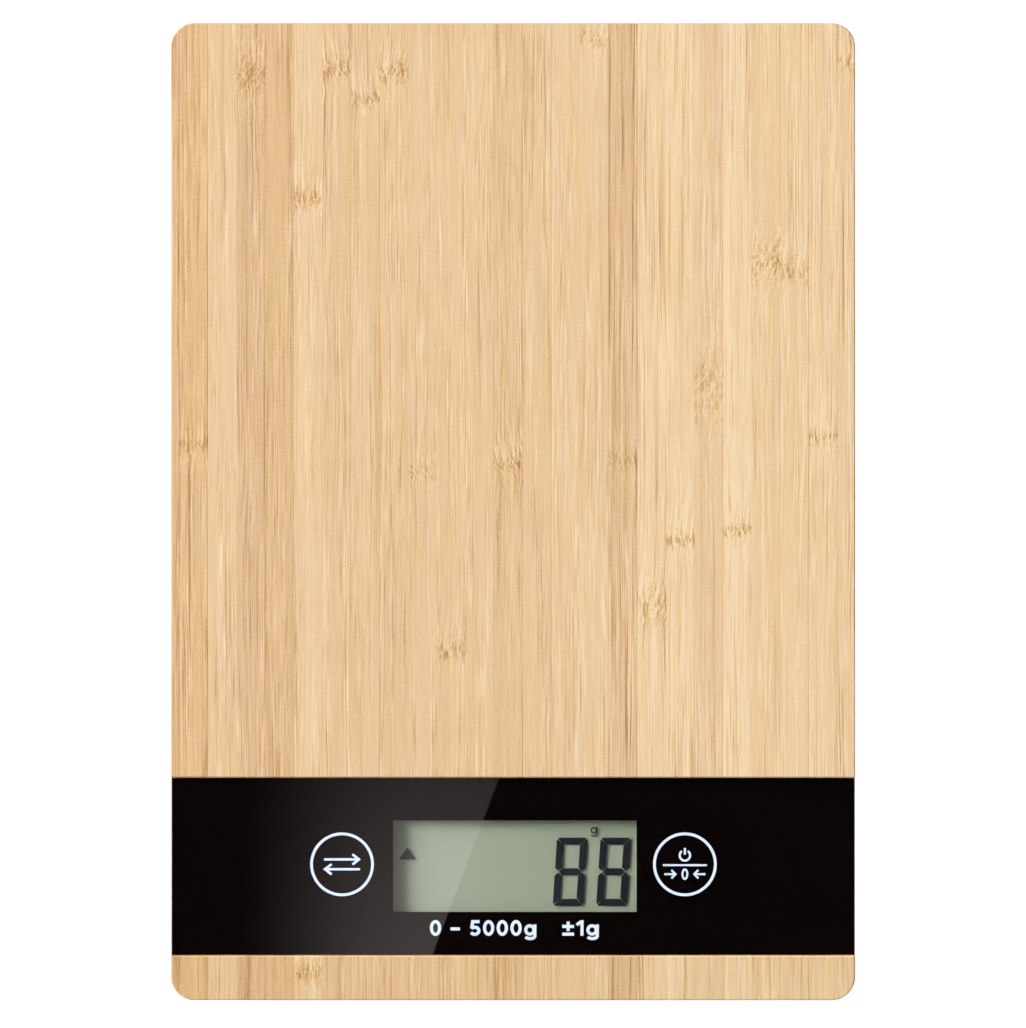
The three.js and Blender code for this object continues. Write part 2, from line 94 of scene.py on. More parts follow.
HOUSING_WALL = 2.0
HOUSING_FLOOR = 1.6
HOUSING_CORNER = 8.0
HOUSING_ROUNDING = 1.2
STATION_OUTER = 24.4
STATION_CORNER = 4.0
STATION_POCKET = 21.8
STATION_SEAT = 6.2
CABLE_NOTCH = 3.4
CABLE_NOTCH_FLOOR = 7.5
FOOT_RECESS_TOP = 4.8
FOOT_GAP = 0.7
STEM_RADIUS = 5.3
BOSS_RADIUS = 4.0
SCREW_SEAT = 6.0
SCREW_GAP = 0.4
THREAD_RADIUS = 1.45
THREAD_ROOT = 1.1
LABEL_SIZE = (64, 30)
LABEL_CENTRE = (0, -20)
LABEL_DEPTH = 0.45
BATTERY_BLOCK = ((-17, 40), (17, 76))  # its front left and rear right corners
CELL_GAP = 0.4
CELL_WELL_TOP = 8.6
HOOK_ROOM = (14, 66, 7.2)  # half its width, its front and its top

STRIP_WIDTH = 6.69  # one bamboo strip
FIRST_SEAM = -78.0  # X of the first seam
STRIPS = 25
SEAM_HALF_WIDTH = 0.24
RIM_WIDTH = 0.7

CORNERS = ("front_left", "front_right", "rear_left", "rear_right")
SCREW_NAMES = CORNERS + ("middle_left", "middle_right")


# ----- places from the frame


def box_mm(node):
    """Lowest and highest corners of a CAD node, in mm."""
    low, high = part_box(node)
    return low / MM, high / MM


def centre_mm(node):
    low, high = box_mm(node)
    return (low + high) / 2


def size_mm(node):
    low, high = box_mm(node)
    return high - low


def joint_mm(name):
    """Place of a joint, in mm."""
    joint = next(j for j in frame["joints"] if j["name"] == name)
    return Vector(joint["pos_m"]) / MM


board_low, board_high = box_mm("bamboo_platform")
housing_low, housing_high = box_mm("base_housing")

# ----- mesh helpers


def rounded_rect(width, depth, radius, steps=16, centre=(0.0, 0.0)):
    """Points of a rounded rectangle, anticlockwise from above."""
    radius = max(radius, 0.01)
    points = []
    for quarter, (sx, sy) in enumerate(((1, 1), (-1, 1), (-1, -1), (1, -1))):
        cx = centre[0] + sx * (width / 2 - radius)
        cy = centre[1] + sy * (depth / 2 - radius)
        for step in range(steps + 1):
            angle = math.pi / 2 * (quarter + step / steps)
            points.append((cx + radius * math.cos(angle), cy + radius * math.sin(angle)))
    return points


def circle(radius, steps=64, centre=(0.0, 0.0)):
    turn = 2 * math.pi / steps
    return [
        (centre[0] + radius * math.cos(turn * i), centre[1] + radius * math.sin(turn * i))
        for i in range(steps)
    ]


def flat_ring(outline, z):
    return [(x, y, z) for x, y in outline]


# Fills: each call returns a function that builds a closed shape in the bmesh it is given


def loft(rings, around=False):
    """Skin through rings of (x, y, z) points, capped at both ends or run around to the first."""

    def fill(bm):
        loops = [[bm.verts.new(Vector(p) * MM) for p in ring] for ring in rings]
        for low, high in zip(loops, loops[1:] + loops[:1] if around else loops[1:]):
            for i in range(len(low)):
                j = (i + 1) % len(low)
                bm.faces.new((low[i], low[j], high[j], high[i]))
        if not around:
            bm.faces.new(list(reversed(loops[0])))
            bm.faces.new(loops[-1])

    return fill


def prism(outline, bottom, top):
    return loft([flat_ring(outline, bottom), flat_ring(outline, top)])


def block(low, high):
    outline = [(low[0], low[1]), (high[0], low[1]), (high[0], high[1]), (low[0], high[1])]
    return prism(outline, low[2], high[2])


def slab(size, corner, bottom, top, low_round, high_round, centre=(0.0, 0.0), steps=5):
    """Rounded rectangular slab with rounded rims."""

    def ring(inset, z):
        width, depth = size[0] - 2 * inset, size[1] - 2 * inset
        return flat_ring(rounded_rect(width, depth, corner - inset, 16, centre), z)

    angles = [math.pi / 2 * step / steps for step in range(steps + 1)]
    rings = []
    for a in angles:
        rings.append(ring(low_round * (1 - math.sin(a)), bottom + low_round * (1 - math.cos(a))))
    for a in angles:
        rings.append(ring(high_round * (1 - math.cos(a)), top - high_round * (1 - math.sin(a))))
    return loft(rings)


def lathe(profile, centre, steps):
    """Turned piece about +Z. The profile's (radius, height) points start and end on the axis."""

    def fill(bm):
        rings = [flat_ring(circle(radius, steps, centre), z) for radius, z in profile[1:-1]]
        loops = [[bm.verts.new(Vector(p) * MM) for p in ring] for ring in rings]
        ends = [bm.verts.new(Vector((centre[0], centre[1], profile[i][1])) * MM) for i in (0, -1)]
        for i in range(steps):
            j = (i + 1) % steps
            bm.faces.new((ends[0], loops[0][j], loops[0][i]))
            bm.faces.new((ends[1], loops[-1][i], loops[-1][j]))
            for low, high in zip(loops, loops[1:]):
                bm.faces.new((low[i], low[j], high[j], high[i]))

    return fill


def flared_hole(centre, radius, mouth, end, steps=64):
    """Round hole from its mouth to its end, with the mouth's edge broken."""
    side = 1 if end > mouth else -1

    wide = radius + EDGE_BREAK
    profile = [(0, mouth - side), (wide, mouth - side), (wide, mouth)]
    profile += [(radius, mouth + side * EDGE_BREAK), (radius, end), (0, end)]
    return lathe(profile, centre, steps)


def flared_pocket(size, corner, centre, mouth, end):
    """Rounded rectangular pocket from its mouth to its end, with the mouth's edge broken."""
    side = 1 if end > mouth else -1
    levels = ((EDGE_BREAK, mouth - side), (EDGE_BREAK, mouth), (0, mouth + side * EDGE_BREAK), (0, end))
    rings = []
    for grow, z in levels:
        outline = rounded_rect(size[0] + 2 * grow, size[1] + 2 * grow, corner + grow, 8, centre)
        rings.append(flat_ring(outline, z))
    return loft(rings)


# Objects


def add_object(name, data):
    made = bpy.data.objects.new(name, data)
    bpy.context.scene.collection.objects.link(made)
    return made


def mesh_object(name, fill):
    """New object whose mesh is made by fill(bm)."""
    bm = bmesh.new()
    fill(bm)
    bmesh.ops.recalc_face_normals(bm, faces=bm.faces)
    mesh = bpy.data.meshes.new(name)
    bm.to_mesh(mesh)
    bm.free()
    return add_object(name, mesh)


def apply_modifiers(piece):
    graph = bpy.context.evaluated_depsgraph_get()
    old = piece.data
    piece.data = bpy.data.meshes.new_from_object(piece.evaluated_get(graph))
    piece.modifiers.clear()
    bpy.data.meshes.remove(old)


def combine(piece, fills, operation):
    """Joins or cuts the piece by each fill in turn."""
    tools = []
    for fill in fills:
        tool = mesh_object("tool", fill)
        modifier = piece.modifiers.new("combine", "BOOLEAN")
        modifier.operation = operation
        modifier.solver = "EXACT"
        modifier.object = tool
        tools.append(tool)
    apply_modifiers(piece)
    for tool in tools:
        mesh = tool.data
        bpy.data.objects.remove(tool)
        bpy.data.meshes.remove(mesh)


def shade(piece, angle=35):
    """Smooth shading that keeps flat faces flat and hard edges hard."""
    piece.data.shade_smooth()
    piece.data.set_sharp_from_angle(angle=math.radians(angle))
    modifier = piece.modifiers.new("even shading", "WEIGHTED_NORMAL")
    modifier.keep_sharp = True
    apply_modifiers(piece)


def finish_piece(piece, slot, *nodes, body="scale_body", material=None):
    """Shades a piece, gives it its material and body, and hides the CAD nodes that it stands for."""
    shade(piece)
    piece.data.materials.clear()
    piece.data.materials.append(MATERIALS[material or slot])
    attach(piece, body)
    if nodes:
        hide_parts(*nodes)


# ----- node helpers


def linear(value):
    """One sRGB channel, 0 to 255, as linear light."""
    value = value / 255
    return value / 12.92 if value <= 0.04045 else ((value + 0.055) / 1.055) ** 2.4


def rgb(red, green, blue):
    return (linear(red), linear(green), linear(blue), 1.0)


def scaled(color, factor):
    """The colour made darker or lighter."""
    return tuple(min(1.0, c * factor) for c in color[:3]) + (1.0,)


class Value:
    """A number that comes out of a node. Arithmetic on it adds Math nodes."""

    def __init__(self, tree, socket):
        self.tree = tree
        self.socket = socket

    def __add__(self, other):
        return self.tree.math("ADD", self, other)

    def __sub__(self, other):
        return self.tree.math("SUBTRACT", self, other)

    def __rsub__(self, other):
        return self.tree.math("SUBTRACT", other, self)

    def __mul__(self, other):
        return self.tree.math("MULTIPLY", self, other)

    def __truediv__(self, other):
        return self.tree.math("DIVIDE", self, other)


class Tree:
    """The node tree of a material or a world, with short calls to build it."""

    def __init__(self, owner):
        owner.use_nodes = True
        self.owner = owner
        self.nodes = owner.node_tree.nodes
        self.links = owner.node_tree.links
        self.shader = self.nodes.get("Principled BSDF")

    def add(self, kind, inputs=None, **settings):
        made = self.nodes.new(kind)
        for key, value in settings.items():
            setattr(made, key, value)
        for key, value in (inputs or {}).items():
            self.put(made.inputs[key], value)
        return made

    def put(self, socket, value):
        """Links a socket, or sets it to a plain number or colour."""
        if isinstance(value, Value):
            value = value.socket
        if isinstance(value, bpy.types.NodeSocket):
            self.links.new(value, socket)
        else:
            socket.default_value = value

    def set(self, **values):
        """Sets the shader's sockets: base_color sets Base Color."""
        for key, value in values.items():
            name = key.replace("_", " ").title().replace("Ior", "IOR")
            self.put(self.shader.inputs[name], value)

    def surface(self, shader):
        self.put(self.nodes["Material Output"].inputs["Surface"], shader.outputs[0])

    def swap_shader(self, factor, other):
        """Shows the other shader instead of the main one where factor is 1."""
        inputs = {0: factor, 1: self.shader.outputs[0], 2: other.outputs[0]}
        self.surface(self.add("ShaderNodeMixShader", inputs))

    def math(self, operation, *operands, clamp=False):
        inputs = dict(enumerate(operands))
        made = self.add("ShaderNodeMath", inputs, operation=operation, use_clamp=clamp)
        return Value(self, made.outputs[0])

    def step(self, value, low, high, to_low=0.0, to_high=1.0):
        """Smooth step of value from low to high."""
        inputs = {0: value, 1: low, 2: high, 3: to_low, 4: to_high}
        made = self.add("ShaderNodeMapRange", inputs, interpolation_type="SMOOTHSTEP")
        return Value(self, made.outputs[0])

    def mix(self, factor, a, b, blend="MIX"):
        made = self.add("ShaderNodeMix", data_type="RGBA", blend_type=blend)
        self.put(made.inputs["Factor"], factor)
        self.put(made.inputs["A"], a)
        self.put(made.inputs["B"], b)
        return made.outputs["Result"]

    def noise(self, vector, scale, detail=2.0, roughness=0.5):
        inputs = {"Vector": vector, "Scale": scale, "Detail": detail, "Roughness": roughness}
        return Value(self, self.add("ShaderNodeTexNoise", inputs).outputs["Fac"])

    def chance(self, key):
        """Colour and number drawn for a key, the same ones each time."""
        made = self.add("ShaderNodeTexWhiteNoise", {"W": key}, noise_dimensions="1D")
        return made.outputs["Color"], Value(self, made.outputs["Value"])

    def place(self, stretch=(1.0, 1.0, 1.0)):
        """The surface point in the object's frame, in mm, times the stretch."""
        coordinates = self.add("ShaderNodeTexCoord").outputs["Object"]
        inputs = {0: coordinates, 1: [s / MM for s in stretch]}
        return self.add("ShaderNodeVectorMath", inputs, operation="MULTIPLY").outputs[0]

    def split(self, vector):
        made = self.add("ShaderNodeSeparateXYZ", {0: vector})
        return [Value(self, socket) for socket in made.outputs]

    def join(self, x, y, z):
        return self.add("ShaderNodeCombineXYZ", {0: x, 1: y, 2: z}).outputs[0]

    def ramp(self, factor, stops, interpolation="LINEAR"):
        """Colour ramp. stops are (place, colour)."""
        made = self.add("ShaderNodeValToRGB", {0: factor})
        ramp = made.color_ramp
        ramp.interpolation = interpolation
        for place, _ in stops[2:]:
            ramp.elements.new(place)
        for element, (place, color) in zip(ramp.elements, stops):
            element.position = place
            element.color = color
        return made.outputs[0]

    def bump(self, height, distance_mm):
        inputs = {"Height": height, "Distance": distance_mm * MM, "Strength": 1.0}
        self.put(self.shader.inputs["Normal"], self.add("ShaderNodeBump", inputs).outputs[0])


def new_material(name):
    return Tree(bpy.data.materials.new(name))


# ----- bamboo

# Each strip from left to right, judged: how light, how warm and how strongly lined it is,
# and where its growth ring crosses it, in mm from the rear edge, with the ring's strength and its
# height in mm. A strip without a ring in this length has strength 0.
BAMBOO_STRIPS = (
    (0.07, 0.25, 0.70, 0, 0.0, 4),
    (0.24, 0.65, 0.70, 99, 0.8, 3),
    (0.55, 0.33, 0.50, 0, 0.0, 4),
    (0.24, 0.18, 0.80, 12, 0.75, 7),
    (0.23, 0.50, 0.62, 0, 0.0, 4),
    (0.64, 0.45, 0.40, 41, 1.0, 4),
    (0.47, 0.38, 0.65, 11, 0.9, 4),
    (0.50, 0.40, 0.65, 18, 0.9, 3),
    (0.46, 0.44, 0.40, 11.5, 0.9, 4),
    (0.55, 0.38, 0.45, 105, 0.55, 4),
    (0.54, 0.50, 0.50, 147, 0.9, 4),
    (0.56, 0.50, 0.60, 0, 0.0, 4),
    (0.39, 0.47, 0.65, 103, 0.95, 3),
    (0.59, 0.50, 0.60, 0, 0.0, 4),
    (0.68, 0.50, 0.50, 0, 0.0, 4),
    (0.68, 0.50, 0.60, 4, 0.8, 3),
    (0.33, 0.35, 1.60, 102, 0.5, 5),
    (0.92, 0.60, 1.80, 136, 0.95, 6),
    (0.98, 0.60, 1.10, 121, 1.3, 3),
    (0.72, 0.40, 0.60, 85, 0.7, 12),
    (1.08, 0.58, 0.85, 119, 1.3, 3),
    (0.77, 0.70, 0.50, 56, 1.0, 7),
    (0.85, 0.68, 0.52, 58, 0.8, 5),
    (0.87, 0.64, 0.58, 97, 1.1, 3),
    (0.83, 0.56, 1.35, 9, 0.8, 4),
)
RING_SPACING = 181.0  # mm from one growth ring of a strip to the next
LENGTH_UNIT = 256.0  # mm that a ring's place is stored against
RING_UNIT = 16.0  # mm that a ring's height is stored against

BAMBOO_TONES = [  # from the darkest line to the palest streak
    (0.0, rgb(186, 142, 98)),
    (0.25, rgb(214, 174, 127)),
    (0.5, rgb(232, 198, 152)),
    (0.75, rgb(243, 213, 171)),
    (1.0, rgb(252, 230, 193)),
]


def strip_tables(tree, index):
    """Looks up the strip's row in BAMBOO_STRIPS, as two groups of three numbers."""
    factor = (index + 0.5) / STRIPS
    looks, rings = [], []
    for i, (light, warm, lined, place, strength, height) in enumerate(BAMBOO_STRIPS):
        looks.append((i / STRIPS, (light, warm, lined, 1.0)))
        rings.append((i / STRIPS, (place / LENGTH_UNIT, strength, height / RING_UNIT, 1.0)))
    return [tree.split(tree.ramp(factor, table, "CONSTANT")) for table in (looks, rings)]


def growth_ring(tree, x, y, index, ring):
    """Distance from the strip's wavy growth ring, and how strongly the band and its core show."""
    place, strength, height = ring[0] * LENGTH_UNIT, ring[1], ring[2] * RING_UNIT
    wave = tree.noise(tree.join(x * 0.55, y * 0.12, index), 1.0, 2.0) - 0.5
    off = tree.math("WRAP", board_high.y - y - place, RING_SPACING / 2, -RING_SPACING / 2)
    off = off + wave * (height * 1.4)
    reach = off / height
    square = reach * reach
    near, core = [tree.math("EXPONENT", square * fall) * strength for fall in (-0.35, -3.5)]
    return off, near, core


def ring_strokes(tree, x, y, index, off, strength, slope):
    """Slanted dashes where vessels cross the growth ring, and wisps that curve away behind it."""
    dash = tree.noise(tree.join(x + off * slope, y * 0.22, index), 2.1, 2.0, 0.6)
    far = tree.math("EXPONENT", off * off * -0.012)
    behind = far * strength * tree.step(off, 1.5, -1.0, 0.4, 1.0)
    lean = behind * behind * (slope * 5.0)
    wisp = tree.noise(tree.join(x + lean, y * 0.05, index), 1.9, 1.0)
    return tree.step(dash, 0.43, 0.57), tree.step(wisp, 0.38, 0.62, -0.45, 0.55) * behind


def painted_rim_shade(tree, color, x, y, normal):
    """Painted shade: the rounded rims are a little darker, most of all those that face left, to tone down the key
    light there.
    """
    upright = tree.math("ABSOLUTE", normal[2])
    outside_x = tree.math("ABSOLUTE", x) - (board_high.x - RIM_WIDTH)
    outside_y = tree.math("ABSOLUTE", y) - (board_high.y - RIM_WIDTH)
    outside = tree.step(tree.math("MAXIMUM", outside_x, outside_y), -0.1, 0.1)
    rim = tree.step(upright, 0.99, 0.88) * tree.step(upright, 0.05, 0.4) * outside
    # Painted shade: strong on rims that face left, towards the key light, and faint on those that face right.
    rim = rim * tree.step(normal[0], 0.2, -0.2, 0.1, 0.75)
    return tree.mix(rim, color, rgb(190, 146, 112))


def end_grain(tree, color, x, z, normal):
    """On the front and rear faces, cut fibre bundles show as small dark dots."""
    pattern = {"Vector": tree.join(x, 0.0, z), "Scale": 1.9, "Randomness": 0.9}
    distance = tree.add("ShaderNodeTexVoronoi", pattern).outputs["Distance"]
    dotted = tree.mix(tree.step(distance, 0.34, 0.16) * 0.55, color, rgb(150, 104, 62))
    dotted = tree.mix(0.75, dotted, rgb(228, 196, 150), "MULTIPLY")
    return tree.mix(tree.step(tree.math("ABSOLUTE", normal[1]), 0.75, 0.95), color, dotted)


def bamboo_material():
    """Laminated bamboo: strips along Y, each with its own tone, fibres and growth ring."""
    tree = new_material("bamboo")
    x, y, z = tree.split(tree.place())
    strip = (x - (FIRST_SEAM - STRIP_WIDTH)) / STRIP_WIDTH
    index = tree.math("FLOOR", strip)
    (light, warm, lined), ring = strip_tables(tree, index)
    shuffle = tree.split(tree.chance(index)[0])
    off, near, core = growth_ring(tree, x, y, index, ring)
    dash, wisp = ring_strokes(tree, x, y, index, off, ring[1], (shuffle[2] - 0.5) * 0.9)

    # Fibres: long thin streaks along Y, shifted from strip to strip, that waver near the ring
    bend = tree.noise(tree.join(x * 0.3, y * 0.26, index), 1.0, 1.5) - 0.5
    sway = tree.noise(tree.join(index * 3.7, y * 0.018, 0.0), 1.0, 1.0) - 0.5
    moved = x + bend * near * 2.4 + sway * 1.6 + shuffle[0] * 90.0
    along = y * 0.006 + shuffle[1] * 50.0

    def streaks(across, stretch, *pattern):
        return tree.noise(tree.join(moved * across, along * stretch, z), *pattern)

    fine = streaks(1.0, 1.0, 3.0, 2.0, 0.6)
    short = streaks(1.0, 5.0, 3.4, 1.0)
    medium = streaks(1.0, 2.0, 1.1, 2.0, 0.6)
    broad = streaks(0.5, 3.0, 0.5, 2.0)
    grit = tree.noise(tree.join(moved, y * 0.6, z), 3.6, 1.0)
    thin_lines = tree.step(fine, 0.57, 0.70)
    dark_lines = tree.step(medium, 0.58, 0.72)

    # Tone, from 0 for the darkest line to 1 for the palest streak
    tone = (light - 0.5) * 0.5 + 0.60
    patch = tree.step(streaks(0.42, 2.5, 1.0, 1.0), 0.34, 0.66, 0.3, 1.7)
    contrast = patch * (lined * 1.05 + 0.45)
    for layer, amount in ((fine, contrast), (short, patch * 0.7), (broad, 0.32), (grit, 0.4)):
        tone = tone + (layer - 0.5) * amount
    tone = tone - (dark_lines * (lined * 0.34) + thin_lines * (lined * 0.36))
    tone = tone + near * 0.12 + wisp * 0.42
    tone = tone - core * dash * 0.38 - near * dash * 0.14 - core * 0.05

    # Glue seams between strips, some of them hardly visible
    middle = tree.math("ABSOLUTE", tree.math("FRACT", strip) - 0.5)
    seam = tree.step(middle, 0.5 - SEAM_HALF_WIDTH / STRIP_WIDTH, 0.5)
    seam = seam * tree.chance(tree.math("ROUND", strip) + 0.37)[1]
    tone = tree.math("SUBTRACT", tone, seam * 0.26, clamp=True)

    hue = streaks(1.0, 3.0, 1.9, 1.0)
    warm = tree.math("ADD", warm, (hue - 0.5) * 2.4, clamp=True)
    warmth = tree.mix(warm, rgb(251, 248, 255), rgb(255, 249, 236))
    warmth = tree.mix(core * dash, warmth, rgb(255, 246, 226))
    color = tree.mix(1.0, tree.ramp(tone, BAMBOO_TONES), warmth, "MULTIPLY")

    # The wood in front of the black strip is a little darker
    lens_front = box_mm("display_lens")[0].y
    in_front = tree.step(y, lens_front + 2.0, lens_front)
    color = tree.mix(in_front, color, rgb(249, 247, 242), "MULTIPLY")

    normal = tree.split(tree.add("ShaderNodeNewGeometry").outputs["Normal"])
    # Painted shade on the board's rims.
    color = painted_rim_shade(tree, color, x, y, normal)
    color = end_grain(tree, color, x, z, normal)
    tree.set(base_color=color, roughness=fine * 0.16 + 0.62, specular_ior_level=0.12)
    tree.bump(fine * 0.6 - seam * 0.5 - core * 0.5, 0.05)
    return tree.owner


# ----- other materials


def moulded_material(name, color, roughness, grain=2.2, variation=0.04, depth_mm=0.02):
    """Moulded plastic or rubber with a fine spark-eroded texture."""
    tree = new_material(name)
    place = tree.place()
    texture = tree.noise(place, grain, 3.0, 0.6)
    cloud = tree.noise(place, 0.06, 2.0)
    low, high = scaled(color, 1 - variation), scaled(color, 1 + variation)
    tree.set(base_color=tree.mix(texture * 0.5 + cloud * 0.5, low, high))
    tree.set(roughness=texture * 0.1 + (roughness - 0.05))
    tree.bump(texture, depth_mm)
    return tree.owner


def metal_material(name, color, roughness, stretch=(1.0, 1.0, 1.0)):
    """Metal with faint brushing or plating marks."""
    tree = new_material(name)
    marks = tree.noise(tree.place(stretch), 1.5, 4.0, 0.6)
    tree.set(base_color=tree.mix(marks, scaled(color, 0.86), color), metallic=1.0)
    tree.set(roughness=marks * 0.16 + (roughness - 0.08))
    tree.bump(marks, 0.01)
    return tree.owner


def print_material(name, color, variation=0.05):
    """Screen printed ink, with a faint mesh in its tone."""
    tree = new_material(name)
    weave = tree.noise(tree.place(), 6.0, 1.0)
    tree.set(base_color=tree.mix(weave, scaled(color, 1 - variation), color))
    tree.set(roughness=0.9, specular_ior_level=0.02)
    return tree.owner


def lens_material():
    """Clear acrylic. Lamps shine straight through it."""
    tree = new_material("clear_lens")
    smears = tree.noise(tree.place(), 0.05, 2.0)
    tree.set(base_color=tree.mix(smears, (0.97, 0.98, 0.98, 1.0), (1.0, 1.0, 1.0, 1.0)))
    tree.set(transmission_weight=1.0, ior=1.49, roughness=0.0)
    clear = tree.add("ShaderNodeBsdfTransparent", {"Color": (0.96, 0.96, 0.96, 1.0)})
    tree.swap_shader(tree.add("ShaderNodeLightPath").outputs["Is Shadow Ray"], clear)
    return tree.owner


def display_material():
    """Reflective display: grey-green, with a fine sparkle and a slow change of tone that is a painted reflection:
    lighter towards the left, like the haze of the card above.
    """
    tree = new_material("lcd_face")
    place = tree.place()
    sparkle = tree.noise(place, 7.0, 2.0, 0.7)
    # Painted reflection: the face is lighter towards the left, standing in for the card's haze.
    painted_haze = tree.step(tree.split(place)[0], 12.0, -28.0)
    base = tree.mix(painted_haze, rgb(121, 129, 111), rgb(130, 142, 126))
    tree.set(base_color=tree.mix(sparkle, base, rgb(139, 147, 127)), roughness=0.1)
    tree.set(specular_ior_level=1.0, ior=1.7)
    return tree.owner


def laminate_material():
    """Green circuit board with tracks under its solder resist."""
    tree = new_material("circuit_laminate")
    place = tree.place()
    tracks = tree.add("ShaderNodeTexBrick", {"Vector": place, "Scale": 0.35, "Mortar Size": 0.05})
    tree.set(base_color=tree.mix(tracks.outputs["Fac"], rgb(18, 92, 48), rgb(52, 132, 74)))
    tree.set(roughness=tree.noise(place, 1.0) * 0.15 + 0.35)
    return tree.owner


# Colour and roughness, then grain, variation and depth where they aren't the usual ones
MOULDED = {
    "black_plastic": (rgb(34, 33, 33), 0.5),
    "black_rubber": (rgb(38, 38, 39), 0.8, 3.0, 0.10, 0.03),
    "capacitor_sleeve": (rgb(30, 32, 44), 0.35),
    "housing_plastic": (rgb(216, 216, 212), 0.5, 2.4, 0.03),
    "retainer_plastic": (rgb(222, 222, 218), 0.5),
    "gauge_film": (rgb(186, 120, 50), 0.4),
    "cable_sleeve": (rgb(224, 224, 220), 0.4),
    "red_sleeve": (rgb(186, 28, 28), 0.4),
    "black_sleeve": (rgb(26, 26, 28), 0.4),
}
# Colour and roughness, then the stretch of the marks where they have a direction
METALS = {
    "lcd_foil": (rgb(200, 204, 196), 0.45),
    "spring_steel": (rgb(196, 192, 182), 0.3),
    "screw_steel": (rgb(188, 189, 190), 0.32),
    "load_cell_steel": (rgb(182, 184, 186), 0.34, (1.0, 0.05, 1.0)),
    "nickel": (rgb(205, 202, 194), 0.24),
}
# Colour, then variation where it isn't the usual one
INKS = {
    "black_print": ((0.0017, 0.0004, 0.0004, 1.0), 0.3),
    "white_print": (rgb(190, 201, 223),),
    "lcd_ink": (rgb(31, 31, 37), 0.15),
    "faint_ink": (rgb(58, 58, 62), 0.15),
}

MATERIALS = {
    "bamboo": bamboo_material(),
    "lens": lens_material(),
    "lcd_glass": display_material(),
    "circuit_laminate": laminate_material(),
}
for make, table in ((moulded_material, MOULDED), (metal_material, METALS), (print_material, INKS)):
    for name, look in table.items():
        MATERIALS[name] = make(name, *look)


def paint_cad_nodes():
    """Gives every CAD node the material of its slot in the record."""
    for row in frame["record"]["subparts"]:
        mesh = frame["nodes"][row["node"]].data
        mesh.materials.clear()
        mesh.materials.append(MATERIALS[row["material_slot"]])


# ----- platform and strip


def channel_cutter(low, high):
    """Channel across the board, along X, with its top edges broken."""
    y0, y1 = low.y - CHANNEL_CLEARANCE, high.y + CHANNEL_CLEARANCE
    wide0, wide1 = y0 - EDGE_BREAK, y1 + EDGE_BREAK
    top = board_high.z
    section = [(y0, top - CHANNEL_DEPTH), (y1, top - CHANNEL_DEPTH), (y1, top - EDGE_BREAK)]
    section += [(wide1, top), (wide1, top + 1), (wide0, top + 1), (wide0, top), (y0, top - EDGE_BREAK)]
    ends = (board_low.x - 1, board_high.x + 1)
    return loft([[(x, y, z) for y, z in section] for x in ends])


def make_platform():
    size = board_high - board_low
    bottom, top = board_low.z, board_high.z
    floor = top - CHANNEL_DEPTH
    body = slab(size, BOARD_CORNER, bottom, top, BOARD_ROUNDING, BOARD_ROUNDING, steps=6)
    piece = mesh_object("platform_board", body)
    display = size_mm("lcd_frame")
    width, depth = display.x + DISPLAY_ROOM, display.y + DISPLAY_ROOM
    openings = [rounded_rect(width, depth, 1.5, 8, centre_mm("lcd_frame"))]
    for spring in ("touch_spring_unit", "touch_spring_tare"):
        openings.append(circle(KEY_WELL_RADIUS, 48, centre_mm(spring)))
    cuts = [channel_cutter(*box_mm("display_lens"))]
    cuts += [prism(outline, bottom - 1, floor + 1) for outline in openings]
    screws = [(f"housing_screw_{name}", SCREW_HOLE_RADIUS) for name in SCREW_NAMES]
    screws += [(f"circuit_screw_{name}", CIRCUIT_HOLE_RADIUS) for name in CORNERS]
    for node, radius in screws:
        cuts.append(flared_hole(centre_mm(node), radius, bottom, box_mm(node)[1].z + TIP_ROOM, 24))
    combine(piece, cuts, "DIFFERENCE")
    finish_piece(piece, "bamboo", "bamboo_platform")


def make_lens():
    low, high = box_mm("display_lens")
    rounding = (LENS_ROUNDING, LENS_ROUNDING)
    body = slab(high - low, LENS_CORNER, low.z, high.z, *rounding, (low + high) / 2, 2)
    finish_piece(mesh_object("display_lens_clear", body), "lens", "display_lens")


# ----- printing and display segments


def print_levels():
    """Bottom and top of the print under the lens: it lies on the black film."""
    bottom = box_mm("printed_mask")[1].z + PRINT_LIFT
    return bottom, bottom + PRINT_THICKNESS


def add_print(name, fills, slot="black_print", material="white_print"):
    """One printed mark, joined from its fills."""
    piece = mesh_object(name, fills[0])
    if len(fills) > 1:
        combine(piece, fills[1:], "UNION")
    finish_piece(piece, slot, material=material)


def ring_fill(centre, radius, stroke):
    bottom, top = print_levels()
    section = ((radius - stroke, bottom), (radius, bottom), (radius, top), (radius - stroke, top))
    return loft([flat_ring(circle(r, 128, centre), z) for r, z in section], around=True)


def arc(x, y, reach_x, reach_y, start, end, steps=16):
    """Points along an ellipse, from start to end degrees."""
    points = []
    for i in range(steps + 1):
        angle = math.radians(start + (end - start) * i / steps)
        points.append((x + reach_x * math.cos(angle), y + reach_y * math.sin(angle)))
    return points


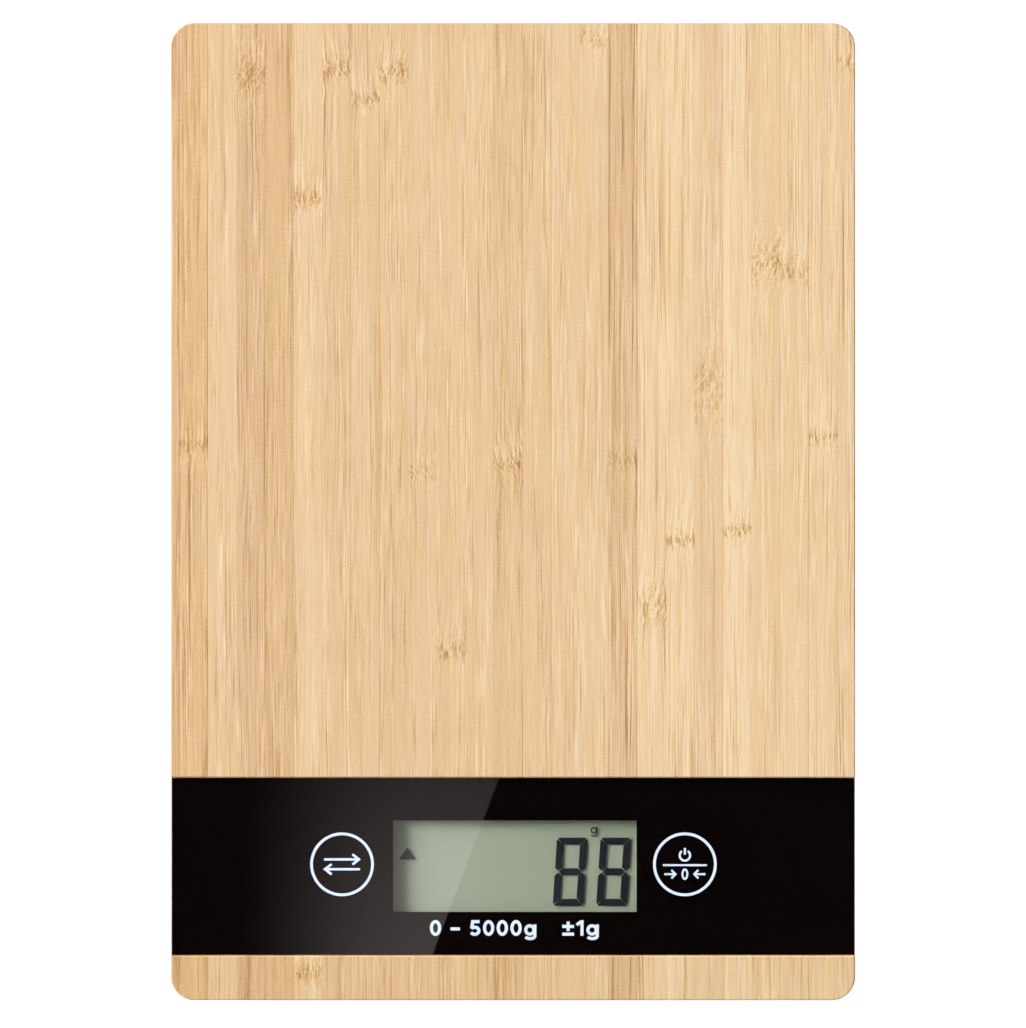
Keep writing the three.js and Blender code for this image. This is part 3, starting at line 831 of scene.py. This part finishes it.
# Plain numbers and symbols for the strip. Numbers are 1 high. Each glyph has its width, its
# strokes' middle lines and its closed loops.
GLYPHS = {
    "0": (0.68, [], [arc(0.34, 0.5, 0.24, 0.41, 0, 350, 35)]),
    "1": (0.44, [[(0.33, 0), (0.33, 1)], [(0.02, 0.70), (0.30, 0.92)]], []),
    "5": (
        0.68,
        [[(0.62, 0.91), (0.21, 0.91), (0.15, 0.46)], arc(0.33, 0.32, 0.25, 0.23, 140, -150)],
        [],
    ),
    "g": (
        0.74,
        [[(0.64, 0.725)] + arc(0.36, -0.02, 0.28, 0.17, 0, -160)],
        [arc(0.34, 0.37, 0.24, 0.27, 0, 350, 35)],
    ),
    " ": (0.28, [], []),
    "-": (0.56, [[(0, 0.44), (0.56, 0.44)]], []),
    "±": (
        0.68,
        [[(0, 0.60), (0.68, 0.60)], [(0.34, 0.30), (0.34, 0.92)], [(0, 0.10), (0.68, 0.10)]],
        [],
    ),
    "→": (1.15, [[(0, 0.5), (1.05, 0.5)], [(0.70, 0.86), (1.10, 0.5), (0.70, 0.14)]], []),
    "←": (1.15, [[(1.15, 0.5), (0.10, 0.5)], [(0.45, 0.86), (0.05, 0.5), (0.45, 0.14)]], []),
    "⇄": (
        1.9,
        [
            [(0, 0.74), (1.80, 0.74)], [(1.50, 1.0), (1.85, 0.74), (1.50, 0.48)],
            [(1.9, 0.24), (0.10, 0.24)], [(0.40, 0.50), (0.05, 0.24), (0.40, -0.02)],
        ],
        [],
    ),
    "⏻": (1.0, [arc(0.5, 0.46, 0.42, 0.42, 55, -235, 32), [(0.5, 0.52), (0.5, 1.06)]], []),
}
GLYPH_GAP = 0.13


def stroke_rings(points, width, bottom, top, closed):
    """Upright cross-sections along a flat line of points."""
    rings = []
    count = len(points)
    for i, (x, y) in enumerate(points):
        before = points[(i - 1) % count] if closed or i > 0 else points[i]
        after = points[(i + 1) % count] if closed or i < count - 1 else points[i]
        into = Vector((x - before[0], y - before[1])).normalized()
        out = Vector((after[0] - x, after[1] - y)).normalized()
        along = (into + out).normalized()
        side = Vector((-along.y, along.x))
        reach = width / 2 / max(0.5, along.dot(out if out.length else into))
        left, right = Vector((x, y)) + side * reach, Vector((x, y)) - side * reach
        rings.append([(*left, bottom), (*right, bottom), (*right, top), (*left, top)])
    return rings


def word_fills(words, cap_height, centre_x, baseline, width, stroke, levels):
    """One fill for each stroke of the glyphs, spread to the width asked for."""
    natural = sum(GLYPHS[glyph][0] + GLYPH_GAP for glyph in words) - GLYPH_GAP
    squeeze = width / (natural * cap_height)
    left = centre_x - width / 2
    fills = []
    start = 0.0
    for glyph in words:
        advance, lines, loops = GLYPHS[glyph]
        for points, closed in [(line, False) for line in lines] + [(loop, True) for loop in loops]:
            placed = [
                (left + (x + start) * cap_height * squeeze, baseline + y * cap_height)
                for x, y in points
            ]
            fills.append(loft(stroke_rings(placed, stroke, *levels, closed), closed))
        start += advance + GLYPH_GAP
    return fills


def make_label(name, words, cap_height, centre_x, baseline, width, stroke=0.2):
    """Numbers or a symbol on the strip. The stroke is a share of the height."""
    size = (cap_height, centre_x, baseline, width, stroke * cap_height)
    add_print(name, word_fills(words, *size, print_levels()))


def make_key_prints():
    unit = centre_mm("touch_spring_unit")
    tare = centre_mm("touch_spring_tare")
    bottom, top = print_levels()
    add_print("key_ring_unit", [ring_fill(unit, RING_RADIUS, RING_STROKE)])
    add_print("key_ring_tare", [ring_fill(tare, RING_RADIUS, RING_STROKE)])
    make_label("symbol_unit", "⇄", 4.6, unit.x, unit.y - 2.25, 8.4, 0.12)
    make_label("symbol_power", "⏻", 2.9, tare.x, tare.y + 0.75, 2.9, 0.17)
    make_label("symbol_zero", "→ 0 ←", 2.7, tare.x, tare.y - 3.65, 9.6, 0.17)
    line = block((tare.x - 5.15, tare.y - 0.42, bottom), (tare.x + 5.15, tare.y + 0.03, top))
    add_print("symbol_line", [line])


def make_range_print():
    window = centre_mm("lcd_frame")
    baseline = board_low.y + RANGE_BASELINE
    make_label("range_print", "0 - 5000g", RANGE_HEIGHT, window.x - 7.4, baseline, 25.0)
    make_label("step_print", "±1g", RANGE_HEIGHT, window.x + 15.4, baseline, 8.6)


def segment_shapes():
    """Outlines of the seven segments of a digit, about its centre, before slanting."""
    w, h, t, g = DIGIT_WIDTH / 2, DIGIT_HEIGHT / 2, SEGMENT_WIDTH, SEGMENT_GAP / 2
    cut = SEGMENT_CUT
    top = [(-w + cut + g, h), (w - cut - g, h), (w - g - cut * 0.4, h - cut * 0.6),
           (w - t - g * 0.4, h - t), (-w + t + g * 0.4, h - t), (-w + g + cut * 0.4, h - cut * 0.6)]
    side = [(w, h - cut - 2 * g), (w - cut * 0.5, h - cut * 0.7 - g), (w - t, h - t - 2 * g),
            (w - t, t / 2 + g * 2.4), (w - t / 2, g * 1.6), (w, t / 2 + g)]
    bar = [(-w + t + g, t / 2), (w - t - g, t / 2), (w - t / 2 - 1.5 * g, 0),
           (w - t - g, -t / 2), (-w + t + g, -t / 2), (-w + t / 2 + 1.5 * g, 0)]

    def flip(shape, x_sign, y_sign):
        return [(x * x_sign, y * y_sign) for x, y in shape]

    sides = [flip(side, *signs) for signs in ((1, 1), (-1, 1), (1, -1), (-1, -1))]
    return [top, flip(top, 1, -1), *sides, bar]


def make_display_segments():
    """Two digits, a small unit mark and a pointer, just above the display's face."""
    bottom = box_mm("lcd_polarizer")[1].z + SEGMENT_RISE
    top = bottom + PRINT_THICKNESS
    window = centre_mm("lcd_frame")
    left, right = window.x - WINDOW_WIDTH / 2, window.x + WINDOW_WIDTH / 2
    middle = board_low.y + DIGIT_MIDDLE
    for number, centre_x in enumerate((right - DIGIT_INSET - DIGIT_PITCH, right - DIGIT_INSET)):
        for i, shape in enumerate(segment_shapes()):
            slanted = [
                (centre_x + x + y / DIGIT_HEIGHT * DIGIT_SLANT, middle + y) for x, y in shape
            ]
            name = f"digit_{number + 1}_segment_{i + 1}"
            add_print(name, [prism(slanted, bottom, top)], "lcd_glass", "lcd_ink")
    tip = board_low.y + POINTER_TIP
    foot = tip - POINTER_HEIGHT
    pointer = [(left + 1.35, foot), (left + 5.25, foot), (left + 3.35, tip)]
    add_print("display_pointer", [prism(pointer, bottom, top)], "lcd_glass", "faint_ink")
    baseline = middle + DIGIT_HEIGHT / 2 + 0.8
    unit_mark = word_fills("g", 2.4, right - 9.9, baseline, 1.8, 0.3, (bottom, top))
    add_print("display_unit_mark", unit_mark, "lcd_glass", "lcd_ink")


# ----- housing


def station_cutters(name):
    """Cuts for one foot: pocket above, recess and stem hole from below."""
    centre = centre_mm(f"foot_holder_{name}")
    radius = size_mm(f"foot_holder_{name}").x / 2
    bottom, above = housing_low.z, housing_high.z + 1
    pocket = rounded_rect(STATION_POCKET, STATION_POCKET, 0.5, 3, centre)
    half = CABLE_NOTCH / 2
    notch_y = centre.y - math.copysign(STATION_OUTER / 2, centre.y)
    return [
        prism(pocket, STATION_SEAT, above),
        flared_hole(centre, radius + FOOT_GAP, bottom, FOOT_RECESS_TOP),
        prism(circle(STEM_RADIUS + FOOT_GAP, 48, centre), bottom, STATION_SEAT + 1),
        block((centre.x - half, notch_y - 2, CABLE_NOTCH_FLOOR), (centre.x + half, notch_y + 2, above)),
    ]


def battery_cutters():
    """Door recess, coin cell well, room for the hooks and slots for the contacts."""
    door_low, door_high = box_mm("battery_door")
    floor = housing_low.z + HOUSING_FLOOR
    below = floor - 0.2
    front, rear = door_low.y - 0.1, joint_mm("battery_door_hinge").y
    width = door_high.x - door_low.x + 0.6
    centre = (0, (front + rear) / 2)
    well = circle(size_mm("coin_cell").x / 2 + CELL_GAP, 64, centre_mm("coin_cell"))
    hook_x, hook_front, hook_top = HOOK_ROOM
    clip_low, clip_high = box_mm("battery_contact_positive")
    clip_start = (clip_high.x - 1.0, clip_low.y - CELL_GAP, below)
    clip_end = (clip_high.x + CELL_GAP, clip_high.y + CELL_GAP, CELL_WELL_TOP)
    cuts = [
        flared_pocket((width, rear - front), 1.8, centre, housing_low.z, floor + 0.05),
        prism(well, below, CELL_WELL_TOP),
        block((-hook_x, hook_front, below), (hook_x, door_high.y + 0.7, hook_top)),
        block(clip_start, clip_end),
    ]
    for node in ("battery_contact_negative", "battery_contact_positive"):
        low, high = box_mm(node)
        x0, x1 = sorted((0.0, low.x if abs(low.x) > abs(high.x) else high.x))
        slot_start = (x0, low.y - CELL_GAP, high.z - 0.4)
        cuts.append(block(slot_start, (x1, high.y + CELL_GAP, high.z + 0.2)))
    return cuts


def finger_scoop():
    """Shallow thumb recess in front of the battery door."""
    front = box_mm("battery_door")[0].y

    def fill(bm):
        ball = bmesh.ops.create_uvsphere(bm, u_segments=48, v_segments=24, radius=1.0)
        place = Matrix.Translation(Vector((0, front - 1.2, housing_low.z)) * MM)
        shape = Matrix.Diagonal((7 * MM, 3.4 * MM, 1.1 * MM, 1))
        bmesh.ops.transform(bm, matrix=place @ shape, verts=ball["verts"])

    return fill


def make_housing():
    low, high = housing_low, housing_high
    size = high - low
    floor = low.z + HOUSING_FLOOR
    joined_from, joined_to = floor - 0.5, high.z - 0.05
    body = slab(size, HOUSING_CORNER, low.z, high.z, HOUSING_ROUNDING, 0.2)
    piece = mesh_object("housing_shell", body)
    wall = 2 * HOUSING_WALL
    inside = rounded_rect(size.x - wall, size.y - wall, HOUSING_CORNER - HOUSING_WALL)
    combine(piece, [prism(inside, floor, high.z + 1)], "DIFFERENCE")

    outlines = []
    for name in CORNERS:
        centre = centre_mm(f"foot_holder_{name}")
        outlines.append(rounded_rect(STATION_OUTER, STATION_OUTER, STATION_CORNER, 6, centre))
    for name in SCREW_NAMES:
        outlines.append(circle(BOSS_RADIUS, 48, centre_mm(f"housing_screw_{name}")))
    joined = [prism(outline, joined_from, joined_to) for outline in outlines]
    joined.append(block((*BATTERY_BLOCK[0], joined_from), (*BATTERY_BLOCK[1], joined_to)))
    combine(piece, joined, "UNION")

    label = flared_pocket(LABEL_SIZE, 2.0, LABEL_CENTRE, low.z, low.z + LABEL_DEPTH)
    cuts = [finger_scoop(), label]
    for name in CORNERS:
        cuts += station_cutters(name)
    for name in SCREW_NAMES:
        node = f"housing_screw_{name}"
        centre = centre_mm(node)
        hole = size_mm(node).x / 2 + SCREW_GAP
        cuts.append(flared_hole(centre, hole, low.z, SCREW_SEAT, 48))
        cuts.append(prism(circle(SCREW_HOLE_RADIUS, 24, centre), low.z, high.z + 1))
    combine(piece, cuts + battery_cutters(), "DIFFERENCE")
    finish_piece(piece, "housing_plastic", "base_housing")


def engraved_arrow(centre, reach, face):
    """Arrowhead cut into a downward face with sloping sides. It points to the front."""
    outline = [(0, -reach), (reach, reach * 0.7), (-reach, reach * 0.7)]
    rings = []
    for grow, z in ((1.1, face - 0.5), (1.0, face), (0.45, face + 0.6)):
        rings.append([(centre[0] + x * grow, centre[1] + y * grow, z) for x, y in outline])
    return loft(rings)


def make_battery_door():
    low, high = box_mm("battery_door")
    rear = joint_mm("battery_door_hinge").y - 0.3
    front = low.y + 0.2
    top = low.z + 1.5
    centre = (0, (front + rear) / 2)
    panel = slab((high.x - low.x, rear - front), 1.5, low.z, top, 0.3, 0.3, centre, 3)
    piece = mesh_object("battery_door_panel", panel)
    joined = [block((-5, low.y, low.z + 0.5), (5, front + 1, low.z + 1.1))]  # the snap rib
    for x in (-8, 8):  # the hooks
        joined.append(block((x - 2, rear - 2, top - 0.5), (x + 2, rear - 0.3, high.z)))
        joined.append(block((x - 2, rear - 2, top + 0.25), (x + 2, high.y, high.z)))
    combine(piece, joined, "UNION")

    cuts = []
    for i in range(4):  # grip grooves
        outline = rounded_rect(11, 0.7, 0.34, 6, (0, front + 2.2 + 1.5 * i))
        cuts.append(prism(outline, low.z - 1, low.z + 0.5))
    cuts.append(engraved_arrow((0, front + 10.9), 3.0, low.z))
    combine(piece, cuts, "DIFFERENCE")
    finish_piece(piece, "housing_plastic", "battery_door", body="battery_door")


# ----- feet, screws and cell


def round_piece(node):
    """Lowest and highest corners, centre and radius of a round CAD node, in mm."""
    low, high = box_mm(node)
    return low, high, centre_mm(node), (high.x - low.x) / 2


def make_foot(name):
    """The holder with its stem and pin, and the rubber pad in its seat."""
    low, high, centre, radius = round_piece(f"foot_holder_{name}")
    _, pad_high, _, pad_radius = round_piece(f"foot_pad_{name}")
    cell_low, cell_high = box_mm(f"load_cell_{name}")
    seat = pad_high.z + 0.1
    shoulder = cell_low.z - 0.1
    head = cell_high.z + 0.2
    profile = [
        (0, seat), (pad_radius + 0.2, seat), (pad_radius + 0.2, low.z + 0.15),
        (pad_radius + 0.35, low.z), (radius - 0.5, low.z), (radius - 0.15, low.z + 0.15),
        (radius, low.z + 0.5), (radius, 3.75), (radius - 0.1, 4.0), (radius - 0.35, 4.1),
        (STEM_RADIUS, 4.1), (STEM_RADIUS, shoulder), (1.8, shoulder),
        (1.8, head), (2.5, head), (2.6, head + 0.1), (1.8, high.z), (0, high.z),
    ]
    holder = mesh_object(f"foot_{name}_holder", lathe(profile, centre, 96))
    finish_piece(holder, "housing_plastic", f"foot_holder_{name}")

    profile = [(0, 0), (2.6, 0)]
    for groove in (3.0, 5.4):  # two moulded rings in the tread
        profile += [(groove - 0.15, 0.05), (groove, 0.35), (groove + 0.5, 0.35)]
        profile += [(groove + 0.65, 0.05), (groove + 0.85, 0)]
    profile += [(pad_radius - 0.7, 0), (pad_radius - 0.25, 0.12), (pad_radius, 0.5)]
    profile += [(pad_radius, pad_high.z), (0, pad_high.z)]
    pad = mesh_object(f"foot_{name}_pad", lathe(profile, centre, 96))
    finish_piece(pad, "black_rubber", f"foot_pad_{name}")


def make_housing_screw(name):
    """Domed head with a cross recess, and a threaded shank."""
    node = f"housing_screw_{name}"
    low, high, centre, radius = round_piece(node)
    seat = SCREW_SEAT - 0.1
    dome, turns, pitch = 1.1, 9, 0.78
    profile = [(0, low.z)]
    for step in range(7):
        angle = math.pi / 2 * (0.25 + 0.75 * step / 6)
        profile.append((radius * math.sin(angle), low.z + dome * (1 - math.cos(angle))))
    profile += [(radius, seat), (THREAD_RADIUS, seat)]
    for i in range(turns):  # the thread, as rings of crests and roots
        z = seat + 0.6 + i * pitch
        profile += [(THREAD_ROOT, z), (THREAD_RADIUS, z + 0.25)]
        profile += [(THREAD_RADIUS, z + 0.35), (THREAD_ROOT, z + 0.6)]
    profile += [(THREAD_ROOT, high.z - 1.0), (0, high.z)]
    piece = mesh_object(f"screw_{name}", lathe(profile, centre, 48))
    turn = Matrix.Rotation(math.radians(31 * SCREW_NAMES.index(name)), 4, "Z")
    to_place = Matrix.Translation(Vector((centre.x, centre.y, 0)) * MM)

    def slot(half_x, half_y):
        def fill(bm):
            block((-half_x, -half_y, low.z - 1), (half_x, half_y, low.z + 1.0))(bm)
            bmesh.ops.transform(bm, matrix=to_place @ turn, verts=bm.verts)

        return fill

    arm, half = 0.64 * radius, 0.42  # the cross recess
    combine(piece, [slot(arm, half), slot(half, arm)], "DIFFERENCE")
    finish_piece(piece, "screw_steel", node)


def make_coin_cell():
    low, high, centre, radius = round_piece("coin_cell")
    profile = [
        (0, low.z + 0.05), (radius - 1.6, low.z + 0.05), (radius - 1.4, low.z),
        (radius - 0.5, low.z), (radius - 0.15, low.z + 0.12), (radius, low.z + 0.45),
        (radius, high.z - 0.6), (radius - 0.2, high.z - 0.32), (radius - 0.5, high.z - 0.25),
        (radius - 1.4, high.z - 0.25), (radius - 1.5, high.z - 0.06), (radius - 1.7, high.z),
        (0, high.z),
    ]
    can = mesh_object("coin_cell_can", lathe(profile, centre, 96))
    finish_piece(can, "nickel", "coin_cell")


# ----- floor, light and camera


def add_sheet(name, corners, material):
    """One flat face that isn't part of the object."""
    mesh = bpy.data.meshes.new(name)
    mesh.from_pydata(corners, [], [tuple(range(len(corners)))])
    mesh.materials.append(material)
    sheet = add_object(name, mesh)
    sheet.visible_diffuse = False
    sheet.visible_shadow = False
    return sheet


def make_floor():
    """White sweep that also glows a little, as on a light table. It can't be seen from below."""
    half = 3.0  # metres
    tree = new_material("floor_white")
    tree.set(base_color=(0.35, 0.35, 0.35, 1.0), roughness=1.0, specular_ior_level=0.0)
    tree.set(emission_color=(1.0, 1.0, 1.0, 1.0), emission_strength=1.0)
    underside = tree.add("ShaderNodeNewGeometry").outputs["Backfacing"]
    tree.swap_shader(underside, tree.add("ShaderNodeBsdfTransparent"))
    corners = [(-half, -half, 0), (half, -half, 0), (half, half, 0), (-half, half, 0)]
    add_sheet("floor", corners, tree.owner)


def make_world():
    """Pale room, dark straight overhead, so that the glossy strip stays black from above."""
    world = bpy.data.worlds.new("room")
    bpy.context.scene.world = world
    tree = Tree(world)
    up = tree.split(tree.add("ShaderNodeTexCoord").outputs["Generated"])[2]
    height = tree.add("ShaderNodeMapRange", {0: up, 1: -1.0}).outputs[0]
    levels = ((0.0, 0.45), (0.4, 0.5), (0.49, 0.8), (0.56, 0.09), (0.85, 0.0))
    stops = [(place, (level, level, level, 1.0)) for place, level in levels]
    tree.put(tree.nodes["Background"].inputs[0], tree.ramp(height, stops))


LAMP_DISTANCE = 4.5  # metres from the origin


def add_softbox(name, direction, size, power):
    """Square softbox that faces the object from a direction. Its size is in metres."""
    lamp = bpy.data.lights.new(name, "AREA")
    lamp.shape = "SQUARE"
    lamp.size = size
    lamp.energy = power
    box = add_object(name, lamp)
    towards = Vector(direction).normalized()
    box.location = towards * LAMP_DISTANCE
    box.rotation_mode = "QUATERNION"
    box.rotation_quaternion = towards.to_track_quat("Z", "Y")
    box.visible_camera = False
    box.visible_transmission = False


CAMERA_HEIGHT = 1500.0  # above the platform's top
PICTURE_HEIGHT = 240.3  # what the picture shows from top to bottom, at the platform's top
PICTURE_CENTRE = (-0.02, -0.56)


def make_camera():
    data = bpy.data.cameras.new("camera")
    data.sensor_width = 36.0
    data.lens = data.sensor_width * CAMERA_HEIGHT / PICTURE_HEIGHT
    data.clip_start = 0.05
    data.clip_end = 20.0
    camera = add_object("camera", data)
    camera.location = Vector((*PICTURE_CENTRE, board_high.z + CAMERA_HEIGHT)) * MM
    bpy.context.scene.camera = camera


def make_reflection_card():
    """Tall softbox overhead, off to the left, whose slanted edge mirrors across the strip."""
    rise = 750.0
    stretch = 1 + rise / CAMERA_HEIGHT  # how far the mirror image of a strip point moves outwards
    rear, front = (-3.3, -62.3), (-19.0, -103.9)  # ends of the reflection's edge on the strip
    slope = (rear[0] - front[0]) / (rear[1] - front[1])

    def edge_x(y):
        return front[0] + slope * (y - front[1])

    left, near, far = -78.0, -125.0, -40.0
    corners = [(left, far), (edge_x(far), far), (edge_x(near), near), (left, near)]
    z = board_high.z + rise
    points = [Vector((x * stretch, y * stretch, z)) * MM for x, y in corners]
    tree = new_material("card_glow")
    x, y, _ = tree.split(tree.place())
    from_left = tree.step(x, -66 * stretch, -20 * stretch)
    from_rear = tree.step(y, -50 * stretch, -112 * stretch, 0.26, 0.68)
    glow = {"Color": (1.0, 0.90, 0.85, 1.0), "Strength": from_left * from_rear}
    tree.surface(tree.add("ShaderNodeEmission", glow))
    add_sheet("reflection_card", points, tree.owner).visible_camera = False


# ----- put together

bpy.context.scene.view_settings.view_transform = "Standard"
make_camera()
make_floor()
make_world()
make_reflection_card()
add_softbox("key_left", (-1.5, 0.46, 1.0), 2.1, 378.0)
add_softbox("low_right", (1.3, -0.3, -0.1), 2.0, 66.0)
add_softbox("low_front", (0.3, -1.3, -0.1), 2.0, 66.0)
add_softbox("low_rear", (-0.2, 1.3, -0.1), 2.0, 40.0)
add_softbox("under_right", (0.8, 0.5, -1.0), 1.6, 90.0)

paint_cad_nodes()
make_platform()
make_lens()
make_key_prints()
make_range_print()
make_display_segments()
make_housing()
make_battery_door()
for corner in CORNERS:
    make_foot(corner)
for screw in SCREW_NAMES:
    make_housing_screw(screw)
make_coin_cell()
